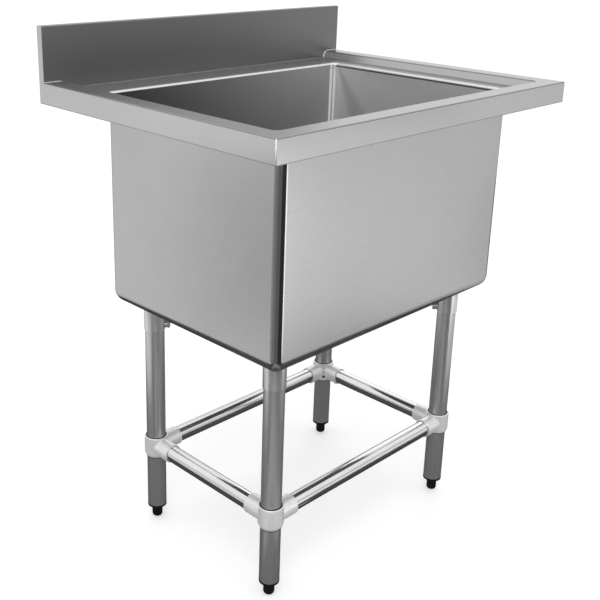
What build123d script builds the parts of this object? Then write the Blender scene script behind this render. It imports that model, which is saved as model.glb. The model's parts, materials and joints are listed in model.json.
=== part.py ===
from build123d import *
from math import hypot
import os

# Single deep-bowl laundry sink on a frame of four tube legs.
#
# Millimetres, +Z up. The origin is on the floor under the middle of the sink top,
# +X runs to the right along the front and +Y runs back to the wall.

# ---------------------------------------------------------------- sink top
overall_width = 790.0
overall_depth = 600.0
rim_height = 900.0
sheet = 1.2
bend_radius = 2.2
skirt_height = 39.0
skirt_return = 12.0
border_width = 37.0
border_drop = 15.0
border_run = 9.0
recess_corner = 11.0
root_radius = 2.0
splash_rise = 100.0
splash_thickness = 15.0
collar_depth = 14.0
lip_radius = 5.0
deck_side = 40.0
deck_front = 26.0
deck_back = 71.0

# -------------------------------------------------------------------- bowl
bowl_drop = 405.0
bowl_corner = 13.8
bowl_base_radius = 23.8
dish_diameter = 116.0
dish_depth = 4.0
dish_slope = 3.0
waste_hole_diameter = 90.0

# ------------------------------------------------------------------- waste
flange_diameter = 110.0
flange_thickness = 1.5
cup_diameter = 85.0
cup_wall = 1.5
cup_height = 52.0
cup_base_radius = 8.0
outlet_pipe_diameter = 47.8
outlet_pipe_wall = 2.9
outlet_pipe_length = 32.0
bed_gasket_thickness = 1.0
gasket_diameter = 112.0
gasket_thickness = 3.0
washer_diameter = 110.0
washer_thickness = 1.0
locknut_diameter = 104.0
locknut_height = 8.0
locknut_lugs = 8
lug_width = 10.0
lug_reach = 4.0
thread_clearance = 0.2

# ---------------------------------------------------------- strainer basket
basket_rim_diameter = 96.0
basket_rim_thickness = 1.2
basket_diameter = 76.0
basket_wall = 1.0
basket_depth = 34.0
basket_base_radius = 5.0
basket_slots = 16
slot_inner_ring = 12.0
slot_outer_ring = 31.0
slot_width = 3.0
knob_diameter = 18.0
knob_height = 6.0
knob_bevel = 1.5
knob_sink = 4.0
knob_post_diameter = 6.0
knob_foot_diameter = 12.0
knob_foot_thickness = 1.5
rivet_clearance = 0.05
lift_clearance = 0.1

# ---------------------------------------------------- legs and their sockets
leg_diameter = 38.1
tube_wall = 1.2
leg_inset = 57.5
foot_height = 31.0
plate_size = 62.0
plate_thickness = 3.0
plate_corner = 6.0
socket_clearance = 0.2
socket_wall = 1.5
socket_length = 52.0
bolt_diameter = 8.0
bolt_height_in_socket = 9.0
bolt_head_flats = 13.0
bolt_head_thickness = 5.5
weld_nut_diameter = 14.0
weld_nut_thickness = 4.0
screw_clearance = 0.1

# --------------------------------------------------- rails, corner fittings
rail_height = 167.0
rail_diameter = 31.8
rail_wall = 1.2
rail_clearance = 0.2
collar_height = 45.0
collar_clearance = 0.25
collar_wall = 4.2
collar_taper_width = 3.4
collar_taper_height = 8.0
mouth_gap = 1.3
mouth_depth = 5.0
collar_rim_chamfer = 1.2
outlet_rim_chamfer = 1.0
outlet_wall = 2.6
outlet_reach = 53.0
outlet_floor = 1.8
rail_end_gap = 0.3
grub_diameter = 6.0
grub_drop = 6.0
grub_sink = 0.5
boss_diameter = 14.0
boss_reach = 6.0
outlet_boss_diameter = 11.0
outlet_boss_reach = 2.0
outlet_boss_edge = 10.0

# -------------------------------------------------------------------- feet
insert_clearance = 0.1
insert_length = 30.0
insert_cone_end = 20.5
insert_cone_diameter = 23.5
rod_diameter = 12.0
rod_clearance = 0.05
rod_length = 38.0
stem_diameter = 21.0
stem_gap = 0.3
stem_round = 6.0

# ------------------------------------------------------------ worked values
deck_z = rim_height - border_drop
skirt_z = rim_height - skirt_height
splash_face_y = overall_depth / 2 - splash_thickness
bowl_front_y = -overall_depth / 2 + border_width + border_run + deck_front
bowl_back_y = splash_face_y - deck_back
bowl_shift = (bowl_front_y + bowl_back_y) / 2
bowl_length = bowl_back_y - bowl_front_y
bowl_width = overall_width - 2 * (border_width + border_run + deck_side)
collar_end_z = deck_z - collar_depth
bowl_floor_z = deck_z - bowl_drop
bowl_base_z = bowl_floor_z - sheet
dish_floor_z = bowl_floor_z - dish_depth
dish_base_z = dish_floor_z - sheet
bowl_half_x = bowl_width / 2 + sheet
bowl_half_y = bowl_length / 2 + sheet
leg_radius = leg_diameter / 2
leg_bore_radius = leg_radius - tube_wall
leg_x = bowl_half_x - leg_inset
leg_front_y = bowl_shift - bowl_half_y + leg_inset
leg_back_y = bowl_shift + bowl_half_y - leg_inset
plate_base_z = bowl_base_z - plate_thickness
socket_bore_radius = leg_radius + socket_clearance
socket_radius = socket_bore_radius + socket_wall
socket_end_z = plate_base_z - socket_length
collar_bore_radius = leg_radius + collar_clearance
collar_radius = collar_bore_radius + collar_wall
rail_bore_radius = rail_diameter / 2 + rail_clearance
outlet_radius = rail_bore_radius + outlet_wall
outlet_floor_reach = collar_radius + outlet_floor
rail_start = outlet_floor_reach + rail_end_gap
grub_z = rail_height - grub_drop
waste_centre = Plane.XY.shift_origin((0, bowl_shift, 0))

# Each leg axis is a frame whose local +X and +Y point along the two rails that
# meet there, so that its diagonal points in under the bowl.
leg_axes = {
    "front_left": Plane(origin=(-leg_x, leg_front_y, 0), x_dir=(1, 0, 0)),
    "front_right": Plane(origin=(leg_x, leg_front_y, 0), x_dir=(0, 1, 0)),
    "back_right": Plane(origin=(leg_x, leg_back_y, 0), x_dir=(-1, 0, 0)),
    "back_left": Plane(origin=(-leg_x, leg_back_y, 0), x_dir=(0, -1, 0)),
}
inward = Vector(1, 1, 0).normalized()

os.makedirs("parts", exist_ok=True)


def save(solid, name):
    """Label a finished piece and write it as its own file."""
    solid.label = name
    export_step(solid, f"parts/{name}.step")


def edges_at(part, height, half_x, half_y, centre_y, inside):
    """Edges lying at one height, inside or outside a rectangle on plan."""
    found = []
    for edge in part.edges().filter_by_position(Axis.Z, height - 0.01, height + 0.01):
        middle = edge.center()
        within = abs(middle.X) < half_x and abs(middle.Y - centre_y) < half_y
        if within == inside:
            found.append(edge)
    return found


# ---------------------------------------------------------------- sink top
def pressed_form(skin):
    """The top as a filled block, drawn in by skin on every face of the metal."""
    half_x = overall_width / 2 - skin
    half_y = overall_depth / 2 - skin
    low = skirt_z + skin
    rim = rim_height - skin
    deck = deck_z - skin
    crest = rim_height + splash_rise - skin
    face = splash_face_y + skin
    slope_shift = skin * (hypot(border_drop, border_run) - border_run) / border_drop
    with BuildPart() as form:
        with BuildSketch(Plane.XY.offset(low)):
            Rectangle(2 * half_x, 2 * half_y)
        extrude(amount=rim - low)
        with BuildSketch(Plane.XY.offset(low)):
            with Locations((0, (face + half_y) / 2)):
                Rectangle(2 * half_x, half_y - face)
        extrude(amount=crest - low)

        # Recess inside the raised border: sloped on three sides, open to the splashback.
        for height, run in ((deck, border_run), (rim, 0)):
            recess_x = overall_width / 2 - border_width - run + slope_shift
            recess_y = -overall_depth / 2 + border_width + run - slope_shift
            with BuildSketch(Plane.XY.offset(height)) as recess:
                with Locations((0, (recess_y + face) / 2)):
                    Rectangle(2 * recess_x, face - recess_y)
                fillet(recess.vertices().group_by(Axis.Y)[0], recess_corner + slope_shift)
        loft(mode=Mode.SUBTRACT)

        # Opening for the bowl.
        with BuildSketch(Plane.XY.offset(low)):
            with Locations((0, bowl_shift)):
                RectangleRounded(bowl_width + 2 * skin, bowl_length + 2 * skin, bowl_corner + skin)
        extrude(amount=deck - low, mode=Mode.SUBTRACT)

        # Bends, each drawn in with the skin.
        corners = form.edges().filter_by(Axis.Z).filter_by_position(Axis.Y, -half_y - 1, -half_y + 1)
        fillet(corners, bend_radius - skin)
        hole_x = bowl_half_x + lip_radius
        hole_y = bowl_half_y + lip_radius
        fillet(edges_at(form, deck, hole_x, hole_y, bowl_shift, True), lip_radius - skin)
        ring_x = overall_width / 2 - border_width / 2
        ring_y = overall_depth / 2 - border_width / 2
        for inside in (False, True):
            bends = edges_at(form, rim, ring_x, ring_y, 0, inside)
            fillet([bend for bend in bends if bend.center().Y < face - 1], bend_radius - skin)
        fillet(edges_at(form, deck, hole_x, hole_y, bowl_shift, False), root_radius + skin)
        crest_edges = form.edges().filter_by_position(Axis.Z, crest - 0.01, crest + 0.01)
        fillet(crest_edges.filter_by(Axis.X), bend_radius - skin)
    return form.part


with BuildPart() as sink_top:
    add(pressed_form(0))
    add(pressed_form(sheet), mode=Mode.SUBTRACT)
    # The skirt is left with a narrow return lip round the open underside.
    with BuildSketch(Plane.XY.offset(skirt_z)):
        Rectangle(overall_width - 2 * skirt_return, overall_depth - 2 * skirt_return)
    extrude(amount=sheet, mode=Mode.SUBTRACT)
    # The collar round the opening stops where the bowl wall is welded on.
    with BuildSketch(Plane.XY.offset(skirt_z)):
        with Locations((0, bowl_shift)):
            Rectangle(2 * (bowl_half_x + sheet), 2 * (bowl_half_y + sheet))
    extrude(amount=collar_end_z - skirt_z, mode=Mode.SUBTRACT)
save(sink_top.part, "sink_top")


# -------------------------------------------------------------------- bowl
def bowl_form(skin):
    """The bowl as a filled block, drawn in by skin, with the waste dish below it."""
    half_x = bowl_half_x - skin
    half_y = bowl_half_y - skin
    base = bowl_base_z + skin
    with BuildPart() as form:
        with BuildSketch(Plane.XY.offset(base)):
            with Locations((0, bowl_shift)):
                Rectangle(2 * half_x, 2 * half_y)
        extrude(amount=collar_end_z - base)
        fillet(form.faces().sort_by(Axis.Z)[0].edges(), bowl_base_radius + sheet - skin)
        fillet(form.edges().filter_by(Axis.Z), bowl_corner + sheet - skin)
        dish_top = dish_diameter / 2 + sheet - skin
        for depth, radius in ((0, dish_top), (dish_depth, dish_top - dish_slope)):
            with BuildSketch(waste_centre.offset(base - depth)):
                Circle(radius)
        loft()
    return form.part


with BuildPart() as bowl:
    add(bowl_form(0))
    add(bowl_form(sheet), mode=Mode.SUBTRACT)
    with BuildSketch(waste_centre.offset(dish_base_z)):
        Circle(waste_hole_diameter / 2)
    extrude(amount=sheet, mode=Mode.SUBTRACT)
save(bowl.part, "bowl")

# ------------------------------------------------------------------- waste
flange_z = dish_floor_z + bed_gasket_thickness
cup_radius = cup_diameter / 2
cup_bore = cup_radius - cup_wall
cup_base_z = flange_z - cup_height
pipe_radius = outlet_pipe_diameter / 2
pipe_bore = pipe_radius - outlet_pipe_wall
pipe_end_z = cup_base_z - outlet_pipe_length
gasket_base_z = dish_base_z - gasket_thickness
washer_base_z = gasket_base_z - washer_thickness
locknut_base_z = washer_base_z - locknut_height
ring_bore = cup_radius + thread_clearance


def ring(base, thickness, outer, inner):
    """A flat ring round the waste axis."""
    with BuildPart() as flat_ring:
        with BuildSketch(waste_centre.offset(base)):
            Circle(outer)
            Circle(inner, mode=Mode.SUBTRACT)
        extrude(amount=thickness)
    return flat_ring.part


def filled_cup(base, top, radius, base_radius):
    """A round block on the waste axis with its lower edge rounded."""
    with BuildPart() as cup:
        with BuildSketch(waste_centre.offset(base)):
            Circle(radius)
        extrude(amount=top - base)
        fillet(cup.edges().group_by(Axis.Z)[0], base_radius)
    return cup.part


with BuildPart() as waste_body:
    with BuildSketch(waste_centre.offset(flange_z)):
        Circle(flange_diameter / 2)
    extrude(amount=flange_thickness)
    chamfer(waste_body.edges().group_by(Axis.Z)[-1], flange_thickness / 2)
    add(filled_cup(cup_base_z, flange_z, cup_radius, cup_base_radius))
    flange_top_z = flange_z + flange_thickness
    cup_space = filled_cup(cup_base_z + cup_wall, flange_top_z, cup_bore, cup_base_radius - cup_wall)
    add(cup_space, mode=Mode.SUBTRACT)
    with BuildSketch(waste_centre.offset(pipe_end_z)):
        Circle(pipe_radius)
    extrude(amount=outlet_pipe_length)
    with BuildSketch(waste_centre.offset(pipe_end_z)):
        Circle(pipe_bore)
    extrude(amount=outlet_pipe_length + 2 * cup_wall, mode=Mode.SUBTRACT)
save(waste_body.part, "waste_body")

save(ring(dish_floor_z, bed_gasket_thickness, flange_diameter / 2, ring_bore), "waste_bed_gasket")
save(ring(gasket_base_z, gasket_thickness, gasket_diameter / 2, ring_bore), "waste_gasket")
save(ring(washer_base_z, washer_thickness, washer_diameter / 2, ring_bore), "waste_washer")

with BuildPart() as locknut:
    add(ring(locknut_base_z, locknut_height, locknut_diameter / 2, ring_bore))
    with BuildSketch(waste_centre.offset(locknut_base_z)):
        with PolarLocations((ring_bore + locknut_diameter / 2 + lug_reach) / 2, locknut_lugs):
            Rectangle(locknut_diameter / 2 + lug_reach - ring_bore, lug_width)
        Circle(ring_bore, mode=Mode.SUBTRACT)
    extrude(amount=locknut_height)
save(locknut.part, "waste_locknut")

# ---------------------------------------------------------- strainer basket
basket_rim_z = flange_z + flange_thickness + lift_clearance
basket_top_z = basket_rim_z + basket_rim_thickness
basket_base_z = basket_rim_z - basket_depth
basket_floor_z = basket_base_z + basket_wall
basket_radius = basket_diameter / 2
basket_bore = basket_radius - basket_wall
slot_middle = (slot_inner_ring + slot_outer_ring) / 2
post_radius = knob_post_diameter / 2
knob_top_z = basket_top_z - knob_sink

with BuildPart() as strainer_basket:
    add(filled_cup(basket_base_z, basket_rim_z, basket_radius, basket_base_radius))
    with BuildSketch(waste_centre.offset(basket_rim_z)):
        Circle(basket_rim_diameter / 2)
    extrude(amount=basket_rim_thickness)
    basket_space = filled_cup(basket_floor_z, basket_top_z, basket_bore, basket_base_radius - basket_wall)
    add(basket_space, mode=Mode.SUBTRACT)
    with BuildSketch(waste_centre.offset(basket_base_z)):
        with PolarLocations(slot_middle, basket_slots):
            Rectangle(slot_outer_ring - slot_inner_ring, slot_width)
        Circle(post_radius + rivet_clearance)
    extrude(amount=basket_wall, mode=Mode.SUBTRACT)
save(strainer_basket.part, "strainer_basket")

with BuildPart() as basket_knob:
    with BuildSketch(waste_centre.offset(basket_base_z)):
        Circle(post_radius)
    extrude(amount=knob_top_z - basket_base_z)
    with BuildSketch(waste_centre.offset(basket_floor_z)):
        Circle(knob_foot_diameter / 2)
    extrude(amount=knob_foot_thickness)
    with BuildSketch(waste_centre.offset(knob_top_z - knob_height)):
        Circle(knob_diameter / 2)
    extrude(amount=knob_height)
    chamfer(basket_knob.edges().group_by(Axis.Z)[-1], knob_bevel)
save(basket_knob.part, "basket_knob")

# ------------------------------------------- mounting plates, sockets, legs
bolt_z = socket_end_z + bolt_height_in_socket
bolt_tip = leg_radius + screw_clearance
nut_face = socket_radius + weld_nut_thickness


def crosswise(axis, height):
    """Plane on a leg axis whose normal points diagonally in under the bowl."""
    origin = axis.from_local_coords(Vector(0, 0, height))
    normal = axis.from_local_coords(inward) - axis.origin
    return Plane(origin=origin, z_dir=normal)


for corner, axis in leg_axes.items():
    with BuildPart() as plate:
        with BuildSketch(axis.offset(plate_base_z)):
            RectangleRounded(plate_size, plate_size, plate_corner)
        extrude(amount=plate_thickness)
    save(plate.part, f"socket_plate_{corner}")

    with BuildPart() as socket:
        with BuildSketch(axis.offset(socket_end_z)):
            Circle(socket_radius)
        extrude(amount=socket_length)
        with BuildSketch(crosswise(axis, bolt_z)):
            Circle(weld_nut_diameter / 2)
        extrude(amount=nut_face)
        with BuildSketch(axis.offset(socket_end_z)):
            Circle(socket_bore_radius)
        extrude(amount=socket_length, mode=Mode.SUBTRACT)
        with BuildSketch(crosswise(axis, bolt_z)):
            Circle(bolt_diameter / 2 + screw_clearance)
        extrude(amount=nut_face, mode=Mode.SUBTRACT)
    save(socket.part, f"leg_socket_{corner}")

    with BuildPart() as leg:
        with BuildSketch(axis.offset(foot_height)):
            Circle(leg_radius)
            Circle(leg_bore_radius, mode=Mode.SUBTRACT)
        extrude(amount=plate_base_z - foot_height)
    save(leg.part, f"leg_{corner}")

with BuildPart() as set_bolts:
    for axis in leg_axes.values():
        side = crosswise(axis, bolt_z)
        with BuildSketch(side.offset(bolt_tip)):
            Circle(bolt_diameter / 2)
        extrude(amount=nut_face - bolt_tip)
        with BuildSketch(side.offset(nut_face)):
            RegularPolygon(bolt_head_flats / 2, 6, major_radius=False)
        extrude(amount=bolt_head_thickness)
save(set_bolts.part, "socket_set_bolts")


# --------------------------------------------------- rails, corner fittings
def along(direction, height, across):
    """Plane across a rail direction at a height and a distance from the leg axis."""
    return Plane(origin=Vector(*direction) * across + Vector(0, 0, height), z_dir=direction)


outlet_directions = ((1, 0, 0), (0, 1, 0))
boss_face = collar_radius + boss_reach
outlet_boss_face = outlet_radius + outlet_boss_reach
outlet_boss_place = outlet_reach - outlet_boss_edge
collar_base_z = rail_height - collar_height / 2
collar_top_z = rail_height + collar_height / 2
screw_hole_radius = grub_diameter / 2 + screw_clearance
grub_start = leg_radius + screw_clearance


with BuildPart() as fitting:
    with BuildSketch(Plane.XY.offset(collar_base_z)):
        Circle(collar_radius)
    extrude(amount=collar_height)
    rims = fitting.edges().filter_by(GeomType.CIRCLE)
    chamfer(rims.group_by(Axis.Z)[0], collar_taper_height, collar_taper_width)
    chamfer(rims.group_by(Axis.Z)[-1], collar_rim_chamfer)
    for direction in outlet_directions:
        with BuildSketch(along(direction, rail_height, 0)):
            Circle(outlet_radius)
        extrude(amount=outlet_reach)
    for axis in (Axis.X, Axis.Y):
        chamfer(fitting.edges().group_by(axis)[-1], outlet_rim_chamfer)

    # Screw bosses: one on the collar, facing in, and one under each outlet.
    with BuildSketch(Plane(origin=(0, 0, grub_z), z_dir=inward)):
        Circle(boss_diameter / 2)
    extrude(amount=boss_face)
    for direction in outlet_directions:
        under = Vector(*direction) * outlet_boss_place + Vector(0, 0, rail_height)
        with BuildSketch(Plane(origin=under, z_dir=(0, 0, -1))):
            Circle(outlet_boss_diameter / 2)
        extrude(amount=outlet_boss_face)

    # Bores for the leg, with a wider mouth, and the two rails, and the collar screw's hole.
    with BuildSketch(Plane.XY.offset(collar_base_z)):
        Circle(collar_bore_radius)
    extrude(amount=collar_height, mode=Mode.SUBTRACT)
    with BuildSketch(Plane.XY.offset(collar_top_z - mouth_depth)):
        Circle(collar_bore_radius + mouth_gap)
    extrude(amount=mouth_depth, mode=Mode.SUBTRACT)
    for direction in outlet_directions:
        with BuildSketch(along(direction, rail_height, outlet_floor_reach)):
            Circle(rail_bore_radius)
        extrude(amount=outlet_reach - outlet_floor_reach, mode=Mode.SUBTRACT)
    with BuildSketch(Plane(origin=(0, 0, grub_z), z_dir=inward)):
        Circle(screw_hole_radius)
    extrude(amount=boss_face, mode=Mode.SUBTRACT)


for corner, axis in leg_axes.items():
    with BuildPart() as corner_fitting:
        with Locations(axis.location):
            add(fitting.part)
    save(corner_fitting.part, f"corner_fitting_{corner}")

with BuildPart() as grub_screws:
    for axis in leg_axes.values():
        with BuildSketch(crosswise(axis, grub_z).offset(grub_start)):
            Circle(grub_diameter / 2)
        extrude(amount=boss_face - grub_sink - grub_start)
save(grub_screws.part, "fitting_grub_screws")

side_span = leg_back_y - leg_front_y
rail_runs = {
    "rail_front": ((1, 0, 0), (-leg_x, leg_front_y), 2 * leg_x),
    "rail_back": ((1, 0, 0), (-leg_x, leg_back_y), 2 * leg_x),
    "rail_left": ((0, 1, 0), (-leg_x, leg_front_y), side_span),
    "rail_right": ((0, 1, 0), (leg_x, leg_front_y), side_span),
}
for name, (direction, start, span) in rail_runs.items():
    first_leg = Vector(*start, rail_height)
    with BuildPart() as rail:
        with BuildSketch(Plane(origin=first_leg + Vector(*direction) * rail_start, z_dir=direction)):
            Circle(rail_diameter / 2)
            Circle(rail_diameter / 2 - rail_wall, mode=Mode.SUBTRACT)
        extrude(amount=span - 2 * rail_start)
    save(rail.part, name)

# -------------------------------------------------------------------- feet
insert_radius = leg_bore_radius - insert_clearance
rod_bore_radius = rod_diameter / 2 + rod_clearance
stem_height = insert_cone_end - stem_gap

for corner, axis in leg_axes.items():
    with BuildPart() as insert:
        with BuildSketch(axis.offset(foot_height)):
            Circle(insert_radius)
        extrude(amount=insert_length)
        for height, radius in ((foot_height, leg_radius), (insert_cone_end, insert_cone_diameter / 2)):
            with BuildSketch(axis.offset(height)):
                Circle(radius)
        loft()
        with BuildSketch(axis.offset(insert_cone_end)):
            Circle(rod_bore_radius)
        extrude(amount=foot_height + insert_length - insert_cone_end, mode=Mode.SUBTRACT)
    save(insert.part, f"foot_insert_{corner}")

    with BuildPart() as foot:
        with BuildSketch(axis):
            Circle(stem_diameter / 2)
        extrude(amount=stem_height)
        fillet(foot.edges().group_by(Axis.Z)[0], stem_round)
        with BuildSketch(axis.offset(stem_height)):
            Circle(rod_diameter / 2)
        extrude(amount=rod_length)
    save(foot.part, f"adjustable_foot_{corner}")
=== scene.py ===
import json
import math

import bmesh
import bpy
from mathutils import Euler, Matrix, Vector


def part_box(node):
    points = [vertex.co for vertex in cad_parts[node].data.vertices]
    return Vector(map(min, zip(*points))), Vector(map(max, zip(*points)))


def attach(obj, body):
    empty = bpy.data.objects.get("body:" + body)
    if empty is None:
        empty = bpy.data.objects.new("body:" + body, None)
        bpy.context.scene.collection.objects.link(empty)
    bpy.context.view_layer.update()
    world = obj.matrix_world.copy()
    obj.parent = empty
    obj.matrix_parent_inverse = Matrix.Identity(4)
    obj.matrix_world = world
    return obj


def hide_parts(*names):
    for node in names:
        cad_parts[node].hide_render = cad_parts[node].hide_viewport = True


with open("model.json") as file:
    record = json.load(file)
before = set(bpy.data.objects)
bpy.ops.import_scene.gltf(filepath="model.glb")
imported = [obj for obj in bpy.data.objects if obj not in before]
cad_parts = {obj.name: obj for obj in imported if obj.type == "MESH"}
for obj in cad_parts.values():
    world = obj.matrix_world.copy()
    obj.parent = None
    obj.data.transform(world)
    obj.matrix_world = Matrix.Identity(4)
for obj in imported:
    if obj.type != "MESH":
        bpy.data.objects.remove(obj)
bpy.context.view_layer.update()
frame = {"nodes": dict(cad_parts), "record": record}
scene = bpy.context.scene

# A utility laundry sink in a white studio. Everything stands in the CAD's frame: metres, +Z up,
# the origin on the floor under the middle of the sink top, +X right along the front and +Y back.


# ------------------------------------------------------------------ camera
# The photograph is 600 pixels square, and looks at the sink from its front left corner.
FRAME_PIXELS = 600.0
FOCAL_PIXELS = 946.9
CENTRE_PIXEL = (255.0, 228.0)
SENSOR_WIDTH = 36.0
CAMERA_PLACE = (-1.3027, -1.1886, 1.1839)
CAMERA_TURN = (71.994, -1.077, -44.051)  # degrees


def add_camera():
    lens = bpy.data.cameras.new("photo_camera")
    lens.sensor_width = SENSOR_WIDTH
    lens.lens = FOCAL_PIXELS / FRAME_PIXELS * SENSOR_WIDTH
    lens.shift_x = (FRAME_PIXELS / 2 - CENTRE_PIXEL[0]) / FRAME_PIXELS
    lens.shift_y = (CENTRE_PIXEL[1] - FRAME_PIXELS / 2) / FRAME_PIXELS
    camera = bpy.data.objects.new("photo_camera", lens)
    camera.location = CAMERA_PLACE
    camera.rotation_euler = Euler([math.radians(angle) for angle in CAMERA_TURN])
    scene.collection.objects.link(camera)
    scene.camera = camera


# ---------------------------------------------------------------- node tools
# Most of a noise's values lie in this range.
NOISE_RANGE = (0.3, 0.7)


class Shader:
    """A material's node tree, with one Principled shader and short ways to add to it.

    A mask is a value that is 1 where something holds and 0 elsewhere.
    """

    def __init__(self, name, metallic, roughness, colour):
        self.material = bpy.data.materials.new(name)
        self.material.use_nodes = True
        self.tree = self.material.node_tree
        self.main = self.tree.nodes["Principled BSDF"]
        self.set("Metallic", metallic)
        self.set("Roughness", roughness)
        self.set("Base Color", (*colour, 1))
        self.material.diffuse_color = (*colour, 1)

    def feed(self, socket, value):
        """Link another node's output to a socket, or set the socket's constant."""
        if isinstance(value, bpy.types.NodeSocket):
            self.tree.links.new(value, socket)
        else:
            socket.default_value = value

    def set(self, name, value):
        """Feed a socket of the Principled shader."""
        self.feed(self.main.inputs[name], value)

    def add(self, kind, **inputs):
        node = self.tree.nodes.new(kind)
        for name, value in inputs.items():
            self.feed(node.inputs[name.replace("_", " ")], value)
        return node

    def operate(self, kind, operation, values):
        node = self.tree.nodes.new(kind)
        node.operation = operation
        for socket, value in zip(node.inputs, values):
            self.feed(socket, value)
        return node

    def math(self, operation, *values):
        return self.operate("ShaderNodeMath", operation, values).outputs[0]

    def vector_math(self, operation, *values):
        return self.operate("ShaderNodeVectorMath", operation, values)

    def place(self):
        return self.add("ShaderNodeTexCoord").outputs["Object"]

    def normal(self):
        return self.add("ShaderNodeNewGeometry").outputs["Normal"]

    def axis(self, vector, name):
        return self.add("ShaderNodeSeparateXYZ", Vector=vector).outputs[name]

    def facing(self, name):
        """How squarely a face looks along an axis, either way."""
        return self.math("ABSOLUTE", self.axis(self.normal(), name))

    def noise(self, scale, detail=2.0, rough=0.5):
        """Noise in the part's own frame; scale is grains per metre, along X, Y and Z or alike."""
        if not isinstance(scale, tuple):
            scale = (scale, scale, scale)
        mapping = self.add("ShaderNodeMapping", Vector=self.place(), Scale=scale)
        noise = self.add(
            "ShaderNodeTexNoise",
            Vector=mapping.outputs[0], Scale=1.0, Detail=detail, Roughness=rough,
        )
        return noise.outputs["Fac"]

    def span(self, value, levels, source=NOISE_RANGE):
        """Map the source range to the two levels, and hold the levels outside it."""
        node = self.add(
            "ShaderNodeMapRange",
            Value=value, From_Min=source[0], From_Max=source[1], To_Min=levels[0], To_Max=levels[1],
        )
        return node.outputs[0]

    def stops(self, value, pairs):
        """A value that follows (position, level) pairs, straight in between."""
        node = self.add("ShaderNodeValToRGB", Fac=value)
        elements = node.color_ramp.elements
        while len(elements) < len(pairs):
            elements.new(0.5)
        for element, (position, level) in zip(elements, pairs):
            element.position = position
            element.color = (level, level, level, 1)
        return node.outputs["Color"]

    def blend(self, factor, first, second):
        return self.add("ShaderNodeMix", Factor=factor, A=first, B=second).outputs[0]

    def mixed(self, first, share, second):
        """A sum of this share of the first value, and the second value for the rest."""
        return self.math(
            "ADD", self.math("MULTIPLY", first, share), self.math("MULTIPLY", second, 1 - share)
        )

    def product(self, *values):
        result = values[0]
        for value in values[1:]:
            result = self.math("MULTIPLY", result, value)
        return result

    def most(self, *values):
        result = values[0]
        for value in values[1:]:
            result = self.math("MAXIMUM", result, value)
        return result

    def below(self, value, limit):
        return self.math("LESS_THAN", value, limit)

    def above(self, value, limit):
        return self.math("GREATER_THAN", value, limit)

    def within(self, value, limits):
        return self.product(self.above(value, limits[0]), self.below(value, limits[1]))

    def inverse(self, mask):
        return self.blend(mask, 1.0, 0.0)

    def scaled(self, value, mask, gain):
        """The value, multiplied by gain where the mask is 1."""
        return self.product(value, self.blend(mask, 1.0, gain))

    def tint(self, level, dark=(0, 0, 0), light=(1, 1, 1)):
        """Base colour that runs from dark to light as level goes from 0 to 1."""
        ramp = self.add("ShaderNodeValToRGB", Fac=level)
        ramp.color_ramp.elements[0].color = (*dark, 1)
        ramp.color_ramp.elements[1].color = (*light, 1)
        self.set("Base Color", ramp.outputs["Color"])

    def roughen(self, grain, roughness, less, more):
        """Roughness that follows the grain, from roughness - less to roughness + more."""
        self.set("Roughness", self.span(grain, (roughness - less, roughness + more)))

    def bump(self, height, strength, distance):
        """Fine relief, on top of any that the shader already has."""
        node = self.add("ShaderNodeBump", Height=height, Strength=strength, Distance=distance)
        normal = self.main.inputs["Normal"]
        if normal.is_linked:
            self.feed(node.inputs["Normal"], normal.links[0].from_socket)
        self.feed(normal, node.outputs[0])


# ----------------------------------------------------------------- finishes
# Metal reflects less at a grazing angle with this tint.
EDGE_TINT = 0.45

# Limits on the parts of a face's normal.
WALL_FACING = 0.7  # an upright wall looks along X or Y at least this squarely
UPRIGHT_LIMIT = 0.3  # an upright face looks up or down less than this
CORNER_TURN = 0.2  # on a rounded upright corner, X times Y is above this
SEAM_TURN = (0.01, 0.15)  # X times Y where a corner's polished seam fades in
FACE_SLOPE = 0.2  # a top face looks up more than this
DECK_SLOPE = 0.98  # the level deck looks up more than this
LIP_SLOPE = (0.12, 0.985)
BROW_SLOPE = (0.2, 0.9)

# Zones of the sink top, in metres.
SPLASH_FACE_Y = 0.284  # the splashback's face lies behind this
DECK_ZONE = (0.884, 0.8862)
LIP_TOP = 0.8849  # the opening's lip and collar lie below this
SHADOW_LINE = (0.8762, 0.8795)  # thin dark line under the lip, on the right wall
# The skirt's corner line below is a painted highlight.
CORNER_FADE = (0.866, 0.888)  # the skirt's bright corner line fades out downwards
HEM_TOP = 0.8624  # the skirt's lower edge lies below this
BROW_ZONE = (0.8975, 0.9001)  # the bend between border and skirt

# Noise scales along X, Y and Z, in grains per metre, and shares of the grain in the tone.
GRAIN_ALONG_X = (6, 900, 900)
GRAIN_ALONG_Y = (900, 6, 900)
GRAIN_SHARE = 0.45
TUBE_STREAKS = (260, 260, 3)
TUBE_CLOUDS = (30, 30, 9)
STREAK_SHARE = 0.6

# How far the plain sheet's tone varies, and how each zone differs from it by painted shade, painted
# light and painted highlight.
TOP_CONTRAST = 0.03
SHEET_CONTRAST = 0.04
SPLASH_SHADE_GAIN = 0.42
SPLASH_ROUGHNESS = 0.4
DECK_LIGHT_GAIN = 1.15
DECK_METALLIC = 0.74
FACE_METALLIC = 0.82
FACE_ROUGHER = 0.1
BEND_SHADE_GAIN = 0.6
SHADOW_GAIN = 0.2
# Painted highlight on the lip, the skirt's upright corners and the corner bands: its tone,
# roughness and metallic.
PAINTED_HIGHLIGHT_TONE = 0.95
LIP_ROUGHNESS = 0.3
PAINTED_HIGHLIGHT_METALLIC = 0.3

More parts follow.
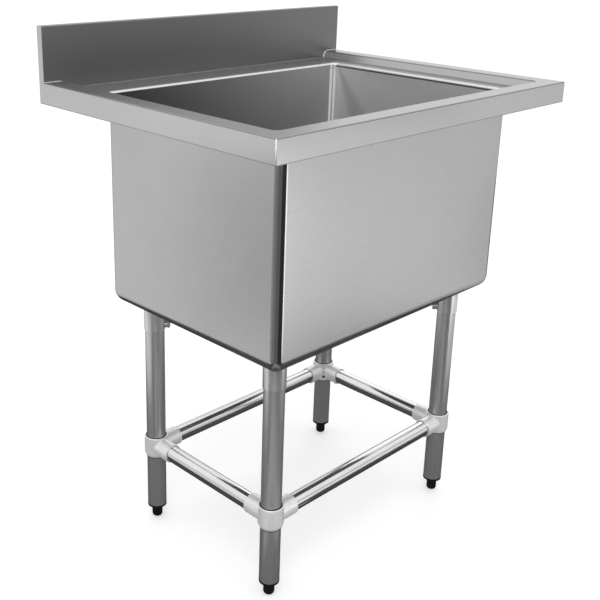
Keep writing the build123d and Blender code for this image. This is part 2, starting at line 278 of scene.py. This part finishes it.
# The bowl. Its inner faces carry painted shade and light: the tone rises from left to right over
# the sweep, and is higher on the end walls.
BOWL_MIDDLE = (0.0, -0.007, 0.68)
INNER_SWEEP = (-0.3, 0.3)
INNER_SHADE_TONES = (0.1, 0.6)
INNER_ROUGHNESS = 0.42
END_WALL_LIGHT_GAIN = 1.6
END_METALLIC = 0.7
SEAM_ROUGHNESS = 0.1
# Painted highlight on the bands of the ground seams: near white and not metallic.
SEAM_HIGHLIGHT_TONE = 1.0
SEAM_HIGHLIGHT_METALLIC = 0.0
# The painted reflection fan on the right wall: Y and Z of its corner, then its level by quarter
# turn.
REFLECTION_FAN_CORNER = (0.206, 0.886)
REFLECTION_FAN_STOPS = ((0.0, 0.85), (0.2, 1.0), (0.5, 1.0), (0.6, 0.82), (0.68, 0.76), (0.76, 0.85),
             (0.82, 1.0), (1.0, 1.0))
# The painted highlight bands on the ground seams of an upright inner corner, by how squarely the
# face looks along X.
HIGHLIGHT_BAND_STOPS = ((0.0, 0.0), (0.05, 0.0), (0.1, 1.0), (0.42, 1.0), (0.5, 0.2), (0.6, 0.2),
              (0.67, 1.0), (0.8, 1.0), (0.88, 0.0))

# The waste's thread, in metres.
THREAD_PITCH = 0.0022
THREAD_TOP = 0.4245
THREAD_DEPTH = 0.0016

# The frame. Axis, middle of the legs along it and distance of the legs from that middle.
LEG_SPREAD = (("X", 0.0, 0.2527), ("Y", -0.007, 0.1647))
FITTING_BORE = 0.0211
# Painted shade in a fitting's bore, and on a leg in the gap at its fitting's mouth.
BORE_SHADE_GAIN = 0.04
COLLAR_GAP = (0.1844, 0.1898)  # heights of the gap between a leg and its fitting's mouth
COLLAR_GAP_SHADE_GAIN = 0.2
CAST_METALLIC = 0.42
RAIL_EDGE_TINT = 0.5
# Painted shade on the rails' undersides.
RAIL_UNDER_SHADE_GAIN = 0.8
RAIL_UNDER = (0.24, 0.5)  # the rails' tone drops as they look up less than this

# Heat colours of a weld, as shares of its tone.
WELD_BLUE = (0.8, 0.79, 0.84)
WELD_STRAW = (1.0, 0.97, 0.92)


def grey(level):
    return (level, level, level * 0.995)


def edge_tint(level):
    return (level, level, level, 1)


def brushed(shader, tone, roughness, contrast):
    """Fine grain along X, or along Y on faces that look sideways, with faint clouding.

    Returns the tone and the roughness as sockets.
    """
    along_x = shader.noise(GRAIN_ALONG_X, detail=4.0, rough=0.7)
    along_y = shader.noise(GRAIN_ALONG_Y, detail=4.0, rough=0.7)
    grain = shader.blend(shader.above(shader.facing("X"), WALL_FACING), along_x, along_y)
    clouds = shader.noise(5, detail=3.0, rough=0.6)
    level = shader.mixed(grain, GRAIN_SHARE, clouds)
    shader.bump(grain, strength=0.15, distance=0.00004)
    return (
        shader.span(level, (tone * (1 - contrast), tone * (1 + contrast))),
        shader.span(grain, (roughness - 0.04, roughness + 0.05)),
    )


def faces_bowl_middle(shader):
    """Mask of the faces that look towards the middle of the bowl."""
    offset = shader.vector_math("SUBTRACT", shader.place(), BOWL_MIDDLE).outputs["Vector"]
    facing = shader.vector_math("DOT_PRODUCT", offset, shader.normal()).outputs["Value"]
    return shader.below(facing, 0.0)


def painted_inner_shade(shader):
    """Painted shade and light on the bowl's inner faces: brighter to the right and on the end
    walls.

    The right wall has a faint fan of painted reflection, lighter and darker, from its upper back
    corner.
    """
    place = shader.place()
    across = shader.axis(shader.normal(), "X")
    # Painted shade and light: darker to the left, lighter to the right and on the end walls.
    sweep = shader.span(shader.axis(place, "X"), INNER_SHADE_TONES, INNER_SWEEP)
    end_wall = shader.above(shader.math("ABSOLUTE", across), WALL_FACING)
    # A fan of painted reflection, lighter and darker, on the right wall.
    down = shader.math("SUBTRACT", REFLECTION_FAN_CORNER[1], shader.axis(place, "Z"))
    forward = shader.math("SUBTRACT", REFLECTION_FAN_CORNER[0], shader.axis(place, "Y"))
    turn = shader.math("DIVIDE", shader.math("ARCTAN2", down, forward), math.pi / 2)
    right_wall = shader.below(across, -WALL_FACING)
    fan = shader.blend(right_wall, 1.0, shader.stops(turn, REFLECTION_FAN_STOPS))
    return shader.product(sweep, shader.blend(end_wall, 1.0, END_WALL_LIGHT_GAIN), fan)


def seam_highlight_bands(shader, inside):
    """Mask of two narrow bands of painted highlight on the ground seams in each upright inner
    corner of the bowl.
    """
    bands = shader.stops(shader.facing("X"), HIGHLIGHT_BAND_STOPS)
    return shader.product(bands, shader.below(shader.facing("Z"), UPRIGHT_LIMIT), inside)


def top_steel(name, tone, roughness):
    """Brushed sheet: rougher splashback with a painted dark reflection, collar with the bowl's
    painted inner shade, painted shade on the bends, a painted lighter deck, and painted highlights
    on the lip, the skirt's corners and the ground seams.
    """
    shader = Shader(name, 1.0, roughness, grey(tone))
    shader.set("Specular Tint", edge_tint(EDGE_TINT))
    level, rough = brushed(shader, tone, roughness, TOP_CONTRAST)
    place = shader.place()
    height = shader.axis(place, "Z")
    normal = shader.normal()
    upward = shader.axis(normal, "Z")
    across = shader.facing("X")
    inside = faces_bowl_middle(shader)

    splash = shader.product(
        shader.below(shader.axis(normal, "Y"), -WALL_FACING),
        shader.above(shader.axis(place, "Y"), SPLASH_FACE_Y),
        shader.above(height, DECK_ZONE[0]),
    )
    # Painted dark reflection: the splashback's tone is cut down.
    level = shader.scaled(level, splash, SPLASH_SHADE_GAIN)
    rough = shader.blend(splash, rough, SPLASH_ROUGHNESS)

    # The collar takes the bowl's painted inner shade and light, with a painted shadow line under
    # the lip on the right wall.
    collar = shader.product(shader.below(height, LIP_TOP), inside)
    right_wall = shader.product(collar, shader.below(shader.axis(normal, "X"), -WALL_FACING))
    shadow = shader.product(right_wall, shader.within(height, SHADOW_LINE))
    inner = shader.scaled(painted_inner_shade(shader), shadow, SHADOW_GAIN)
    level = shader.blend(collar, level, inner)
    rough = shader.blend(collar, rough, INNER_ROUGHNESS)

    # Painted highlights: the lip, the skirt's upright corners and the corner bands turn near white
    # and less metallic.
    lip = shader.product(collar, shader.within(upward, LIP_SLOPE))
    bands = shader.product(seam_highlight_bands(shader, inside), collar)
    turned = shader.above(shader.product(across, shader.facing("Y")), CORNER_TURN)
    fade = shader.span(height, (0.0, 1.0), CORNER_FADE)
    corner = shader.product(turned, fade, shader.inverse(inside))
    bright = shader.most(lip, corner, bands)
    level = shader.blend(bright, level, PAINTED_HIGHLIGHT_TONE)
    rough = shader.blend(bright, rough, LIP_ROUGHNESS)

    # Painted light: the level deck is made lighter.
    deck = shader.product(shader.within(height, DECK_ZONE), shader.above(upward, DECK_SLOPE))
    level = shader.scaled(level, deck, DECK_LIGHT_GAIN)
    # Painted shade on the bend under the border and along the skirt's lower edge, except where
    # highlights are painted.
    brow = shader.product(shader.within(height, BROW_ZONE), shader.within(upward, BROW_SLOPE))
    hem = shader.below(height, HEM_TOP)
    bend_shade = shader.product(shader.most(hem, brow), shader.inverse(bright))
    shader.tint(shader.scaled(level, bend_shade, BEND_SHADE_GAIN))

    face = shader.product(shader.above(upward, FACE_SLOPE), shader.inverse(collar))
    end_wall = shader.product(collar, shader.above(across, WALL_FACING))
    shader.set("Roughness", shader.blend(face, rough, shader.math("ADD", rough, FACE_ROUGHER)))
    metal = shader.blend(face, shader.blend(end_wall, 1.0, END_METALLIC), FACE_METALLIC)
    metal = shader.blend(deck, metal, DECK_METALLIC)
    shader.set("Metallic", shader.blend(bright, metal, PAINTED_HIGHLIGHT_METALLIC))
    return shader.material


def bowl_steel(name, tone, roughness):
    """Brushed sheet with painted shade and light on its inner faces, upright corner seams ground
    smooth, and painted highlight bands on those seams.
    """
    shader = Shader(name, 1.0, roughness, grey(tone))
    shader.set("Specular Tint", edge_tint(EDGE_TINT))
    level, rough = brushed(shader, tone, roughness, SHEET_CONTRAST)
    inside = faces_bowl_middle(shader)
    across = shader.facing("X")
    corner = shader.span(shader.product(across, shader.facing("Y")), (0.0, 1.0), SEAM_TURN)
    seam = shader.product(corner, shader.below(shader.facing("Z"), UPRIGHT_LIMIT))
    # Painted highlight: the bands turn near white and lose their metal; the inner faces get painted
    # shade and light.
    ground = seam_highlight_bands(shader, inside)
    level = shader.blend(inside, level, painted_inner_shade(shader))
    shader.tint(shader.blend(ground, level, SEAM_HIGHLIGHT_TONE))
    rough = shader.blend(seam, rough, SEAM_ROUGHNESS)
    shader.set("Roughness", shader.blend(inside, rough, INNER_ROUGHNESS))
    end_wall = shader.product(inside, shader.above(across, WALL_FACING))
    metal = shader.blend(end_wall, 1.0, END_METALLIC)
    shader.set("Metallic", shader.blend(ground, metal, SEAM_HIGHLIGHT_METALLIC))
    return shader.material


def threaded_steel(name, tone, roughness):
    """Brushed sheet with a pipe thread cut round the waste's outlet."""
    shader = Shader(name, 1.0, roughness, grey(tone))
    shader.set("Specular Tint", edge_tint(EDGE_TINT))
    level, rough = brushed(shader, tone, roughness, SHEET_CONTRAST)
    place = shader.place()
    height = shader.axis(place, "Z")
    along = shader.math("SUBTRACT", shader.axis(place, "Y"), BOWL_MIDDLE[1])
    angle = shader.math("ARCTAN2", along, shader.axis(place, "X"))
    turn = shader.math("DIVIDE", angle, math.tau)
    rise = shader.math("DIVIDE", height, THREAD_PITCH)
    ridge = shader.math("PINGPONG", shader.math("ADD", rise, turn), 0.5)
    thread = shader.product(ridge, shader.below(height, THREAD_TOP))
    shader.bump(thread, strength=1.0, distance=THREAD_DEPTH)
    shader.tint(level)
    shader.set("Roughness", rough)
    return shader.material


def satin_tube(name, tone, roughness, metallic, edge):
    """Tube polished along its length: fine streaks along Z, and painted shade where it sits in its
    fitting's mouth.
    """
    shader = Shader(name, metallic, roughness, grey(tone))
    shader.set("Specular Tint", edge_tint(edge))
    streaks = shader.noise(TUBE_STREAKS, detail=3.0, rough=0.6)
    clouds = shader.noise(TUBE_CLOUDS)
    level = shader.mixed(streaks, STREAK_SHARE, clouds)
    level = shader.span(level, (tone * 0.95, tone * 1.05))
    # Painted shade on the leg inside the gap at its fitting's mouth.
    in_gap = shader.within(shader.axis(shader.place(), "Z"), COLLAR_GAP)
    shader.tint(shader.scaled(level, in_gap, COLLAR_GAP_SHADE_GAIN))
    shader.roughen(streaks, roughness, less=0.04, more=0.05)
    shader.bump(streaks, strength=0.12, distance=0.00004)
    return shader.material


def polished_tube(name, tone, roughness):
    """Bright tube with fine polishing lines, and painted shade that darkens its underside a little.
    """
    shader = Shader(name, 1.0, roughness, grey(tone))
    shader.set("Specular Tint", edge_tint(RAIL_EDGE_TINT))
    lines = shader.noise(900)
    clouds = shader.noise(14)
    # Painted shade: the tone drops on faces that look up little or down.
    upward = shader.axis(shader.normal(), "Z")
    under = shader.span(upward, (RAIL_UNDER_SHADE_GAIN, 1.0), RAIL_UNDER)
    shader.tint(shader.product(shader.span(clouds, (tone * 0.92, tone)), under))
    shader.roughen(lines, roughness, less=0.03, more=0.04)
    shader.bump(lines, strength=0.06, distance=0.00002)
    return shader.material


def leg_distance(shader):
    """How far a point is from the axis of its own corner's leg, in metres."""
    place = shader.place()
    squares = []
    for name, middle, spread in LEG_SPREAD:
        offset = shader.math("SUBTRACT", shader.axis(place, name), middle)
        offset = shader.math("SUBTRACT", shader.math("ABSOLUTE", offset), spread)
        squares.append(shader.product(offset, offset))
    return shader.math("SQRT", shader.math("ADD", *squares))


def cast_alloy(name, tone, roughness):
    """Tumbled casting: fine orange-peel skin, cloudy tone and painted shade in the bore."""
    shader = Shader(name, CAST_METALLIC, roughness, grey(tone))
    skin = shader.noise(900, detail=4.0, rough=0.6)
    clouds = shader.noise(160)
    # Painted shade in the bore.
    bore = shader.below(leg_distance(shader), FITTING_BORE)
    level = shader.span(clouds, (tone * 0.95, tone * 1.03))
    shader.tint(shader.scaled(level, bore, BORE_SHADE_GAIN))
    shader.roughen(skin, roughness, less=0.06, more=0.08)
    shader.bump(skin, strength=0.3, distance=0.00006)
    return shader.material


def moulded(name, colour, roughness, metallic=0.0, contrast=0.15, specular=0.5):
    """Even skin with fine pits and faint clouds: plastic, rubber and plated screws."""
    shader = Shader(name, metallic, roughness, colour)
    shader.set("Specular IOR Level", specular)
    skin = shader.noise(600, detail=3.0)
    clouds = shader.noise(60)
    dark = [channel * (1 - contrast) for channel in colour]
    light = [channel * (1 + contrast) for channel in colour]
    shader.tint(shader.span(clouds, (0.0, 1.0)), dark, light)
    shader.roughen(skin, roughness, less=0.08, more=0.1)
    shader.bump(skin, strength=0.25, distance=0.00006)
    return shader.material


def weld_metal(name, tone, roughness):
    """Bare weld bead: bright, with straw and blue heat colours in patches."""
    shader = Shader(name, 1.0, roughness, grey(tone))
    heat = shader.noise(180, detail=3.0, rough=0.6)
    scale = shader.noise(1200)
    blue = [tone * share for share in WELD_BLUE]
    straw = [tone * share for share in WELD_STRAW]
    shader.tint(shader.span(heat, (0.0, 1.0)), blue, straw)
    shader.roughen(scale, roughness, less=0.06, more=0.1)
    shader.bump(scale, strength=0.3, distance=0.00005)
    return shader.material


MATERIALS = {
    "top_steel": top_steel("top_steel_finish", 0.47, 0.18),
    "bowl_steel": bowl_steel("bowl_steel_finish", 0.44, 0.28),
    "frame_steel": satin_tube("frame_steel_finish", 0.6, 0.24, 0.72, 0.5),
    "satin_tube": satin_tube("satin_tube_finish", 0.56, 0.3, 0.82, 0.15),
    "polished_tube": polished_tube("polished_tube_finish", 0.8, 0.1),
    "cast_alloy": cast_alloy("cast_alloy_finish", 0.87, 0.36),
    "zinc_plate": moulded("zinc_plate_finish", (0.5, 0.5, 0.49), 0.35, metallic=1.0),
    "black_oxide": moulded("black_oxide_finish", (0.04, 0.04, 0.04), 0.4, metallic=1.0),
    "black_nylon": moulded("black_nylon_finish", (0.008, 0.008, 0.008), 0.5, specular=0.25),
    "black_rubber": moulded("black_rubber_finish", (0.015, 0.015, 0.015), 0.7),
    "slip_washer": moulded("slip_washer_finish", (0.62, 0.62, 0.6), 0.45, contrast=0.05),
    "locknut_plastic": moulded("locknut_plastic_finish", (0.7, 0.7, 0.68), 0.45, contrast=0.05),
    "waste_steel": threaded_steel("waste_steel_finish", 0.55, 0.2),
}
WELD_FINISH = weld_metal("weld_finish", 0.72, 0.24)


def finish_nodes():
    """Each CAD node takes the finish of its slot in the record."""
    for part in frame["record"]["subparts"]:
        node = frame["nodes"][part["node"]]
        for socket in node.material_slots:
            socket.material = MATERIALS[part["material_slot"]]


# -------------------------------------------------------------- small pieces
# All sizes here are in millimetres.
# Corner name, place of the leg's axis and the directions of its two rail outlets.
LEGS = (
    ("front_left", (-252.7, -171.7), ((1, 0), (0, 1))),
    ("front_right", (252.7, -171.7), ((0, 1), (-1, 0))),
    ("back_right", (252.7, 157.7), ((-1, 0), (0, -1))),
    ("back_left", (-252.7, 157.7), ((0, -1), (1, 0))),
)
RAIL_Z = 167.0
BOLT_Z = 432.8
GRUB_Z = 161.0
OUTLET_SCREW_PLACE = 43.0
# Rings of a turned piece: height on its axis, radius and, for a hexagon, width across flats.
BOLT_RINGS = ((19.15, 3.3), (19.9, 4.0), (24.75, 4.0), (24.75, 6.2), (25.15, 6.2),
              (25.15, 7.6, 13.0), (29.3, 7.6, 13.0), (30.25, 6.4, 13.0), (30.25, 5.2), (30.0, 4.7))
GRUB_RINGS = ((19.15, 1.3), (20.7, 3.0), (28.6, 3.0), (29.0, 2.6), (29.0, 2.0, 3.0),
              (26.6, 2.0, 3.0))
OUTLET_SCREW_RINGS = ((20.4, 3.0), (21.5, 3.0), (21.9, 2.6), (21.9, 2.0, 3.0), (20.9, 2.0, 3.0))
FLANGE_RINGS = ((25.8, 15.3), (26.8, 18.4), (27.5, 19.2), (31.3, 19.32), (31.8, 19.1),
                (31.8, 18.4), (27.4, 16.3))
# The welds between border and splashback: one Y, then X and Z down the border's end.
BORDER_WELD_Y = 284.8
BORDER_WELD_PATH = ((394, 900.1), (364, 900.1), (359, 899.6), (355.5, 897.6), (352.5, 893.5),
                    (349.6, 885.6))
# The welds round the sockets and beside the plates: how far out, and at what height.
SOCKET_WELD_RADIUS = 20.75 + 0.9
SOCKET_WELD_Z = 475.8 - 0.7
SOCKET_WELD_POINTS = 60
PLATE_WELD_PLACE = 31.0 + 0.5
PLATE_WELD_Z = 478.8 - 0.8
PLATE_WELD_HALF = 11
# Radius of each bead and pitch of its ripples.
BORDER_BEAD = (1.25, 2.4)
SOCKET_BEAD = (1.8, 3.2)
PLATE_BEAD = (1.5, 2.8)
RIPPLE = 0.16
STEPS_PER_RIPPLE = 4
BEAD_END = 0.35
# An edge that turns by more degrees than this is sharp.
SHARP_EDGE = 35.0
SHARP_WELD = 60.0
# An axis whose Z is at least this counts as upright.
UPRIGHT_AXIS = 0.9


class Builder:
    """Collects vertices in millimetres and faces, and makes one piece of them."""

    def __init__(self):
        self.vertices = []
        self.faces = []

    def rings(self, rings, closed):
        """Skin a list of rings of equally many points; closed joins the last to the first."""
        count = len(rings[0])
        start = len(self.vertices)
        for ring in rings:
            self.vertices += ring
        pairs = len(rings) if closed else len(rings) - 1
        for row in range(pairs):
            here = start + row * count
            after = start + (row + 1) % len(rings) * count
            for k in range(count):
                n = (k + 1) % count
                self.faces.append((here + k, here + n, after + n, after + k))
        if not closed:
            last = start + (len(rings) - 1) * count
            self.faces.append(tuple(start + k for k in reversed(range(count))))
            self.faces.append(tuple(last + k for k in range(count)))

    def turned(self, rings, origin, direction, sides=48, closed=False):
        """Turn rings of (height, radius, flats) about an axis; a flat faces up on a lying axis."""
        axis = Vector(direction).normalized()
        up = Vector((0, 0, 1)) if abs(axis.z) < UPRIGHT_AXIS else Vector((1, 0, 0))
        side = axis.cross(up)
        skin = []
        for height, radius, *flats in rings:
            centre = Vector(origin) + axis * height
            ring = []
            for k in range(sides):
                degrees = 360.0 * k / sides
                reach = radius
                if flats:
                    # A hexagon's flats are 60 degrees apart.
                    fold = math.radians((degrees + 30.0) % 60.0 - 30.0)
                    reach = min(radius, flats[0] / 2 / math.cos(fold))
                angle = math.radians(degrees)
                ring.append(centre + (up * math.cos(angle) + side * math.sin(angle)) * reach)
            skin.append(ring)
        self.rings(skin, closed)

    def bead(self, points, radius, pitch, closed=False, sides=12):
        """A weld bead along points, with the ripples that its puddles leave."""
        path = [Vector(point) for point in points]
        if closed:
            path.append(path[0])
        stations = []
        travelled = 0.0
        for start, end in zip(path, path[1:]):
            length = (end - start).length
            steps = max(1, round(length / (pitch / STEPS_PER_RIPPLE)))
            for step in range(steps):
                share = step / steps
                stations.append((start.lerp(end, share), travelled + length * step / steps))
            travelled += length
        if not closed:
            stations.append((path[-1], travelled))
        count = len(stations)
        skin = []
        for k, (place, distance) in enumerate(stations):
            before = stations[k - 1 if closed or k else 0][0]
            after = stations[(k + 1) % count if closed else min(k + 1, count - 1)][0]
            ahead = (after - before).normalized()
            up = Vector((0, 0, 1)) if abs(ahead.z) < UPRIGHT_AXIS else Vector((0, 1, 0))
            side = ahead.cross(up).normalized()
            up = side.cross(ahead)
            swell = radius * (1.0 + RIPPLE * abs(math.sin(math.pi * distance / pitch)))
            if not closed and k in (0, count - 1):
                swell *= BEAD_END
            skin.append([
                place + (side * math.cos(turn) + up * math.sin(turn)) * swell
                for turn in (math.tau * n / sides for n in range(sides))
            ])
        self.rings(skin, closed)

    def piece(self, name, material, sharp=SHARP_EDGE):
        mesh = bpy.data.meshes.new(name)
        mesh.from_pydata([vertex / 1000.0 for vertex in self.vertices], [], self.faces)
        shape = bmesh.new()
        shape.from_mesh(mesh)
        bmesh.ops.recalc_face_normals(shape, faces=shape.faces)
        for face in shape.faces:
            face.smooth = True
        for edge in shape.edges:
            edge.smooth = edge.calc_face_angle(math.pi) < math.radians(sharp)
        shape.to_mesh(mesh)
        shape.free()
        item = bpy.data.objects.new(name, mesh)
        scene.collection.objects.link(item)
        item.data.materials.append(material)
        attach(item, "sink")
        return item


def add_fasteners():
    bolts = Builder()
    collar_screws = Builder()
    outlet_screws = Builder()
    for _, (x, y), outlets in LEGS:
        inward = (outlets[0][0] + outlets[1][0], outlets[0][1] + outlets[1][1], 0)
        bolts.turned(BOLT_RINGS, (x, y, BOLT_Z), inward)
        collar_screws.turned(GRUB_RINGS, (x, y, GRUB_Z), inward)
        for across, along in outlets:
            place = (x + across * OUTLET_SCREW_PLACE, y + along * OUTLET_SCREW_PLACE, RAIL_Z)
            outlet_screws.turned(OUTLET_SCREW_RINGS, place, (0, 0, -1))
    zinc_plate = MATERIALS["zinc_plate"]
    black_oxide = MATERIALS["black_oxide"]
    set_bolts = bolts.piece("set_bolts", zinc_plate)
    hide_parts("socket_set_bolts")
    collar_grub_screws = collar_screws.piece("collar_grub_screws", black_oxide)
    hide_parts("fitting_grub_screws")
    outlet_screws.piece("outlet_grub_screws", black_oxide)


def add_insert_flanges():
    """The rim of each foot insert that shows round the end of its leg."""
    for corner, (x, y), _ in LEGS:
        flange = Builder()
        flange.turned(FLANGE_RINGS, (x, y, 0), (0, 0, 1), closed=True)
        flange.piece(f"insert_flange_{corner}", MATERIALS["black_nylon"])


def add_welds():
    for name, sign in (("left", -1), ("right", 1)):
        weld = Builder()
        weld.bead([(sign * x, BORDER_WELD_Y, z) for x, z in BORDER_WELD_PATH], *BORDER_BEAD)
        weld.piece(f"border_weld_{name}", WELD_FINISH, SHARP_WELD)
    rings = Builder()
    tacks = Builder()
    turns = [math.tau * k / SOCKET_WELD_POINTS for k in range(SOCKET_WELD_POINTS)]
    for _, (x, y), outlets in LEGS:
        circle = [
            (x + SOCKET_WELD_RADIUS * math.cos(turn), y + SOCKET_WELD_RADIUS * math.sin(turn),
             SOCKET_WELD_Z)
            for turn in turns
        ]
        rings.bead(circle, *SOCKET_BEAD, closed=True)
        for out_x, out_y in outlets:
            centre = Vector((x + out_x * PLATE_WELD_PLACE, y + out_y * PLATE_WELD_PLACE,
                             PLATE_WELD_Z))
            along = Vector((-out_y, out_x, 0)) * PLATE_WELD_HALF
            tacks.bead((centre - along, centre + along), *PLATE_BEAD)
    rings.piece("socket_welds", WELD_FINISH, SHARP_WELD)
    tacks.piece("plate_welds", WELD_FINISH, SHARP_WELD)


# --------------------------------------------------------------------- stage
FLOOR_REACH = 25.0
FLOOR_PAINT = (0.9, 0.9, 0.9, 1)
FLOOR_LIFT = 0.36
WORLD_LIGHT = 0.8
# Name, place, aim, size in metres and radiance.
SOFTBOXES = (
    ("key_softbox", (-2.6, -2.2, 3.4), (0, 0, 0.6), 2.4, 2.0),
    ("rim_softbox", (3.4, 1.9, 1.9), (0, 0, 0.8), 1.8, 1.0),
)
# Name, distance from the middle, two heights in metres, two directions in degrees and radiance.
CARDS = (
    ("left_far_card", 1.30, 0.0, 0.58, 142, 160, 0.74),
    ("left_near_card", 1.20, 0.0, 0.62, 160, 180, 0.45),
    ("camera_left_card", 1.15, 0.0, 0.68, 180, 205, 0.30),
    ("camera_mid_card", 1.15, 0.0, 0.68, 205, 235, 0.19),
    ("camera_right_card", 1.15, 0.0, 0.68, 235, 278, 0.05),
    ("line_card", 1.20, 0.0, 0.56, 281, 292, 2.60),
    ("splash_flag", 2.60, 0.64, 1.30, 300, 326, 0.60),
    ("skirt_card", 2.70, 0.36, 0.60, 294, 322, 0.88),
    ("front_low_card", 1.05, 0.0, 0.08, 296, 330, 0.20),
    ("right_card", 1.50, 0.0, 0.42, 330, 355, 0.45),
)
CARD_STEPS = 24
# The dark cloth reaches further between two directions, in degrees.
CLOTH_RADIANCE = 0.1
CLOTH_LIFT = 0.001
CLOTH_STEPS = 72
CLOTH_REACH = 0.9
CLOTH_NEAR_REACH = 1.15
CLOTH_NEAR = (175, 288)
# Legs whose facing side gets a soft streak, with the direction of its strip in degrees.
LEG_STRIPS = (("front_left", 224.0), ("front_right", 213.2), ("back_left", 232.1))
STRIP_RADIANCE = 0.4
STRIP_LIFT = 0.002
STRIP_REACH = (0.3, 1.0)
STRIP_HALF_ANGLE = 11.0


def mesh_object(name, vertices, faces):
    mesh = bpy.data.meshes.new(name)
    mesh.from_pydata(vertices, [], faces)
    mesh.update()
    item = bpy.data.objects.new(name, mesh)
    scene.collection.objects.link(item)
    return item


def bare_material(name):
    """A material with an output node and nothing else."""
    material = bpy.data.materials.new(name)
    material.use_nodes = True
    tree = material.node_tree
    tree.nodes.clear()
    return material, tree, tree.nodes.new("ShaderNodeOutputMaterial")


def seen_or_reflected(tree):
    """1 for rays that come from the camera or a glossy face, 0 for the others."""
    path = tree.nodes.new("ShaderNodeLightPath")
    seen = tree.nodes.new("ShaderNodeMath")
    seen.operation = "ADD"
    tree.links.new(path.outputs["Is Camera Ray"], seen.inputs[0])
    tree.links.new(path.outputs["Is Glossy Ray"], seen.inputs[1])
    return seen.outputs[0]


def add_floor():
    """Pale matt floor, lifted to white where it is seen or reflected."""
    reach = FLOOR_REACH
    corners = [(-reach, -reach, 0), (reach, -reach, 0), (reach, reach, 0), (-reach, reach, 0)]
    floor = mesh_object("floor", corners, [(0, 1, 2, 3)])
    material, tree, output = bare_material("floor_paint")
    paint = tree.nodes.new("ShaderNodeBsdfDiffuse")
    paint.inputs["Color"].default_value = FLOOR_PAINT
    strength = tree.nodes.new("ShaderNodeMath")
    strength.operation = "MULTIPLY"
    strength.inputs[1].default_value = FLOOR_LIFT
    tree.links.new(seen_or_reflected(tree), strength.inputs[0])
    lift = tree.nodes.new("ShaderNodeEmission")
    tree.links.new(strength.outputs[0], lift.inputs["Strength"])
    both = tree.nodes.new("ShaderNodeAddShader")
    tree.links.new(paint.outputs[0], both.inputs[0])
    tree.links.new(lift.outputs[0], both.inputs[1])
    tree.links.new(both.outputs[0], output.inputs["Surface"])
    floor.data.materials.append(material)


def add_world():
    """White surroundings, a little dimmer as a light than as they are seen."""
    world = bpy.data.worlds.new("studio")
    scene.world = world
    world.use_nodes = True
    tree = world.node_tree
    background = tree.nodes["Background"]
    background.inputs["Color"].default_value = (1, 1, 1, 1)
    strength = tree.nodes.new("ShaderNodeMapRange")
    strength.inputs["To Min"].default_value = WORLD_LIGHT
    strength.inputs["To Max"].default_value = 1.0
    tree.links.new(seen_or_reflected(tree), strength.inputs["Value"])
    tree.links.new(strength.outputs[0], background.inputs["Strength"])


def add_softbox(name, place, aim, size, radiance):
    lamp = bpy.data.lights.new(name, "AREA")
    lamp.shape = "SQUARE"
    lamp.size = size
    lamp.energy = radiance * math.pi * size * size
    item = bpy.data.objects.new(name, lamp)
    item.location = place
    item.rotation_euler = (Vector(aim) - Vector(place)).to_track_quat("-Z", "Y").to_euler()
    scene.collection.objects.link(item)


def add_card(name, vertices, faces, radiance):
    """A studio card of one even brightness that is seen only in reflections."""
    card = mesh_object(name, vertices, faces)
    material, tree, output = bare_material(name + "_face")
    glow = tree.nodes.new("ShaderNodeEmission")
    glow.inputs["Strength"].default_value = radiance
    tree.links.new(glow.outputs[0], output.inputs["Surface"])
    material.cycles.emission_sampling = "NONE"
    card.data.materials.append(material)
    card.visible_camera = False
    card.visible_diffuse = False
    card.visible_shadow = False
    card.visible_transmission = False


def add_standing_card(name, radius, low, high, start, end, radiance):
    """A card on an arc round the object, between two heights and two directions."""
    vertices = []
    for step in range(CARD_STEPS + 1):
        angle = math.radians(start + (end - start) * step / CARD_STEPS)
        x = radius * math.cos(angle)
        y = radius * math.sin(angle)
        vertices += [(x, y, low), (x, y, high)]
    faces = [(2 * i, 2 * i + 2, 2 * i + 3, 2 * i + 1) for i in range(CARD_STEPS)]
    add_card(name, vertices, faces, radiance)


def add_ground_cloth():
    """Dark cloth under the object, wider towards the camera."""
    vertices = [(0.0, 0.0, CLOTH_LIFT)]
    for step in range(CLOTH_STEPS):
        turn = 360.0 * step / CLOTH_STEPS
        near = CLOTH_NEAR[0] < turn < CLOTH_NEAR[1]
        reach = CLOTH_NEAR_REACH if near else CLOTH_REACH
        angle = math.radians(turn)
        vertices.append((reach * math.cos(angle), reach * math.sin(angle), CLOTH_LIFT))
    faces = [(0, 1 + step, 1 + (step + 1) % CLOTH_STEPS) for step in range(CLOTH_STEPS)]
    add_card("ground_cloth", vertices, faces, CLOTH_RADIANCE)


def add_leg_strips():
    """Strips of lighter cloth that run out from the feet."""
    near, far = STRIP_REACH
    for corner, direction in LEG_STRIPS:
        low, high = (Vector(point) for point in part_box(f"leg_{corner}"))
        middle = (low + high) / 2
        vertices = []
        for distance, side in ((near, -1), (near, 1), (far, 1), (far, -1)):
            angle = math.radians(direction + side * STRIP_HALF_ANGLE)
            vertices.append((middle.x + distance * math.cos(angle),
                             middle.y + distance * math.sin(angle), STRIP_LIFT))
        add_card(f"leg_strip_{corner}", vertices, [(0, 1, 2, 3)], STRIP_RADIANCE)


scene.view_settings.view_transform = "Standard"
add_camera()
add_floor()
add_world()
for softbox in SOFTBOXES:
    add_softbox(*softbox)
for card in CARDS:
    add_standing_card(*card)
add_ground_cloth()
add_leg_strips()
finish_nodes()
add_fasteners()
add_insert_flanges()
add_welds()
